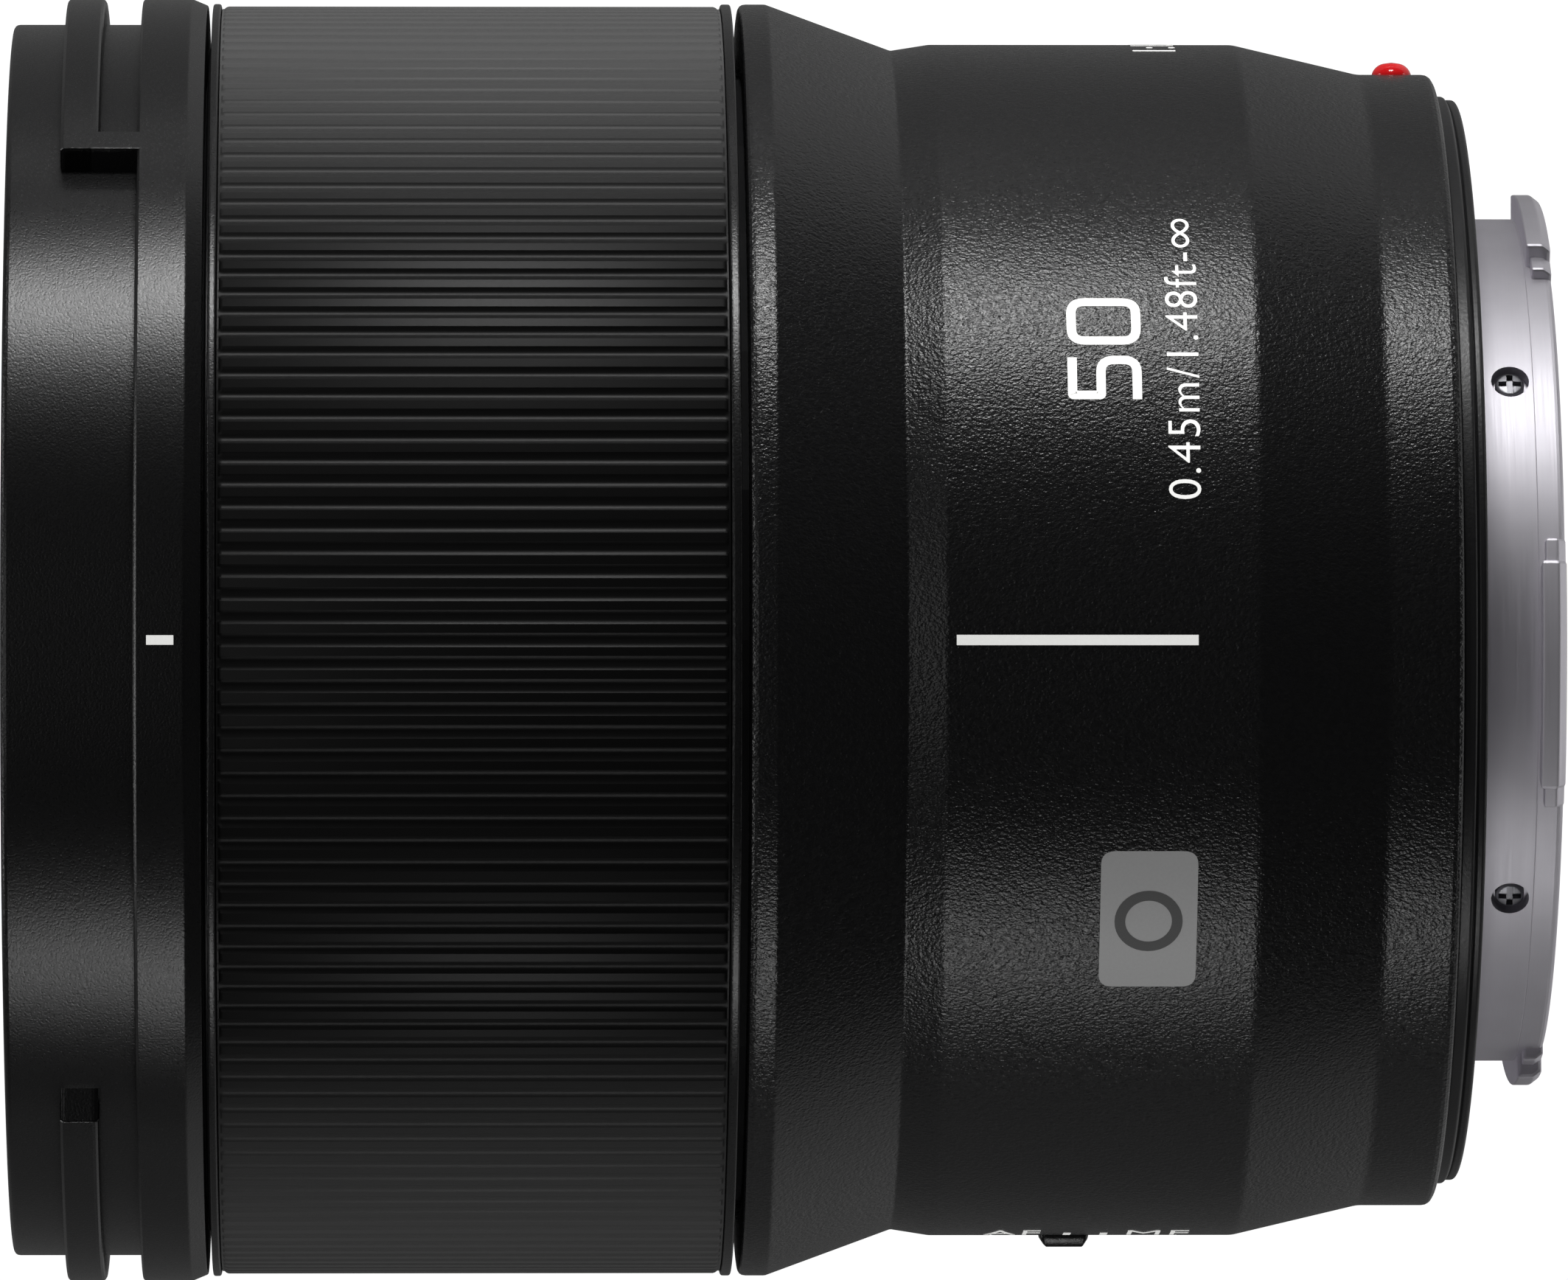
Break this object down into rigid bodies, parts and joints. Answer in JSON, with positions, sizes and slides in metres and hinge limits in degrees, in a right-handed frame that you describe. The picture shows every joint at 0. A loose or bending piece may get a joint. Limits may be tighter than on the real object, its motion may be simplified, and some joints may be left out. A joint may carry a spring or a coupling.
{
  "type": "prime camera lens",
  "caption": "Autofocus prime camera lens with a wide ribbed focus ring, a focus mode switch, a bayonet for a hood at the front and a metal bayonet mount at the rear.",
  "frame": {"origin": "centre of the overall box, on the optical axis midway between the front rim and the bayonet's rear end", "axes": "+Y along the optical axis towards the camera body; +Z the top of the lens, where the white index line is; -X the viewer's right, where the red mounting bead is"},
  "size_m": [0.0736, 0.0874, 0.0736],
  "materials": {
    "satin_black_plastic": "satin moulded black",
    "black_rubber": "ribbed and plain black rubber",
    "satin_steel": "satin plated metal",
    "dark_steel": "blackened sheet and motor cans",
    "glass": "coated optical glass",
    "red_bead": "glossy red",
    "circuit_board": "green circuit board",
    "brass": "turned brass and gold plate"
  },
  "bodies": {
    "barrel": {"front_ring": "satin_black_plastic", "name_ring": "satin_black_plastic", "focus_seal": "black_rubber", "inner_tube": "satin_black_plastic", "rear_bulkhead": "satin_black_plastic", "rotation_sensor": "circuit_board", "main_board": "circuit_board", "guide_rod_1": "satin_steel", "guide_rod_2": "satin_steel", "main_barrel": "satin_black_plastic", "switch_plate": "satin_black_plastic", "switch_board": "circuit_board", "index_bead": "red_bead", "mount_ring": "satin_steel", "mount_screw_1": "satin_steel", "mount_screw_2": "satin_steel", "mount_screw_3": "satin_steel", "mount_screw_4": "satin_steel", "side_screw_1": "satin_steel", "side_screw_2": "satin_steel", "side_screw_3": "satin_steel", "side_screw_4": "satin_steel", "mount_gasket": "black_rubber", "rear_baffle": "satin_black_plastic", "contact_block": "satin_black_plastic", "contact_strip": "brass", "front_cell": "satin_black_plastic", "front_retainer": "satin_black_plastic", "element_1": "glass", "element_2": "glass", "element_3": "glass", "element_4": "glass", "rear_cell": "satin_black_plastic", "element_9": "glass", "iris_base": "satin_black_plastic", "iris_cover": "satin_black_plastic", "iris_motor": "dark_steel", "focus_motor": "dark_steel"},
    "focus_ring": {"focus_sleeve": "satin_black_plastic", "rubber_grip": "black_rubber"},
    "switch": {"switch_knob": "satin_black_plastic"},
    "focus_group": {"focus_cell": "satin_black_plastic", "element_5": "glass", "element_6": "glass", "element_7": "glass", "element_8": "glass", "lead_nut": "brass"},
    "lead_screw": {"lead_screw": "satin_steel"},
    "iris_drive": {"iris_drive_ring": "brass"},
    "iris_blade_1": {"iris_blade_1": "dark_steel"},
    "iris_blade_2": {"iris_blade_2": "dark_steel"},
    "iris_blade_3": {"iris_blade_3": "dark_steel"},
    "iris_blade_4": {"iris_blade_4": "dark_steel"},
    "iris_blade_5": {"iris_blade_5": "dark_steel"},
    "iris_blade_6": {"iris_blade_6": "dark_steel"},
    "iris_blade_7": {"iris_blade_7": "dark_steel"},
    "iris_blade_8": {"iris_blade_8": "dark_steel"},
    "iris_blade_9": {"iris_blade_9": "dark_steel"}
  },
  "joints": [
    {"name": "focus_ring_turn", "type": "hinge", "parent": "barrel", "child": "focus_ring", "pos_m": [0, 0, 0], "axis": [0, 1, 0], "continuous": true},
    {"name": "switch_slide", "type": "slide", "parent": "barrel", "child": "switch", "axis": [0, 1, 0], "range_m": [0, 0.002]},
    {"name": "focus_slide", "type": "slide", "parent": "barrel", "child": "focus_group", "axis": [0, -1, 0], "range_m": [0, 0.005]},
    {"name": "lead_screw_turn", "type": "hinge", "parent": "barrel", "child": "lead_screw", "pos_m": [-0.02044, 0, 0.0118], "axis": [0, 1, 0], "range_deg": [0, 1800.5]},
    {"name": "iris_drive_turn", "type": "hinge", "parent": "barrel", "child": "iris_drive", "pos_m": [0, 0, 0], "axis": [0, 1, 0], "range_deg": [0, 3.18]},
    {"name": "iris_blade_1_turn", "type": "hinge", "parent": "barrel", "child": "iris_blade_1", "pos_m": [0.0226, -0.0055, 0], "axis": [0, 1, 0], "range_deg": [0, 32.1]},
    {"name": "iris_blade_2_turn", "type": "hinge", "parent": "barrel", "child": "iris_blade_2", "pos_m": [0.01731, -0.0055, -0.01453], "axis": [0, 1, 0], "range_deg": [0, 32.1]},
    {"name": "iris_blade_3_turn", "type": "hinge", "parent": "barrel", "child": "iris_blade_3", "pos_m": [0.00392, -0.0055, -0.02226], "axis": [0, 1, 0], "range_deg": [0, 32.1]},
    {"name": "iris_blade_4_turn", "type": "hinge", "parent": "barrel", "child": "iris_blade_4", "pos_m": [-0.0113, -0.0055, -0.01957], "axis": [0, 1, 0], "range_deg": [0, 32.1]},
    {"name": "iris_blade_5_turn", "type": "hinge", "parent": "barrel", "child": "iris_blade_5", "pos_m": [-0.02124, -0.0055, -0.00773], "axis": [0, 1, 0], "range_deg": [0, 32.1]},
    {"name": "iris_blade_6_turn", "type": "hinge", "parent": "barrel", "child": "iris_blade_6", "pos_m": [-0.02124, -0.0055, 0.00773], "axis": [0, 1, 0], "range_deg": [0, 32.1]},
    {"name": "iris_blade_7_turn", "type": "hinge", "parent": "barrel", "child": "iris_blade_7", "pos_m": [-0.0113, -0.0055, 0.01957], "axis": [0, 1, 0], "range_deg": [0, 32.1]},
    {"name": "iris_blade_8_turn", "type": "hinge", "parent": "barrel", "child": "iris_blade_8", "pos_m": [0.00392, -0.0055, 0.02226], "axis": [0, 1, 0], "range_deg": [0, 32.1]},
    {"name": "iris_blade_9_turn", "type": "hinge", "parent": "barrel", "child": "iris_blade_9", "pos_m": [0.01731, -0.0055, 0.01453], "axis": [0, 1, 0], "range_deg": [0, 32.1]}
  ],
  "couplings": [
    {"joint": "lead_screw_turn", "follows": "focus_slide", "rad_per_m": 6283.2},
    {"joint": "iris_blade_1_turn", "follows": "iris_drive_turn", "ratio": 10.065},
    {"joint": "iris_blade_2_turn", "follows": "iris_drive_turn", "ratio": 10.065},
    {"joint": "iris_blade_3_turn", "follows": "iris_drive_turn", "ratio": 10.065},
    {"joint": "iris_blade_4_turn", "follows": "iris_drive_turn", "ratio": 10.065},
    {"joint": "iris_blade_5_turn", "follows": "iris_drive_turn", "ratio": 10.065},
    {"joint": "iris_blade_6_turn", "follows": "iris_drive_turn", "ratio": 10.065},
    {"joint": "iris_blade_7_turn", "follows": "iris_drive_turn", "ratio": 10.065},
    {"joint": "iris_blade_8_turn", "follows": "iris_drive_turn", "ratio": 10.065},
    {"joint": "iris_blade_9_turn", "follows": "iris_drive_turn", "ratio": 10.065}
  ]
}
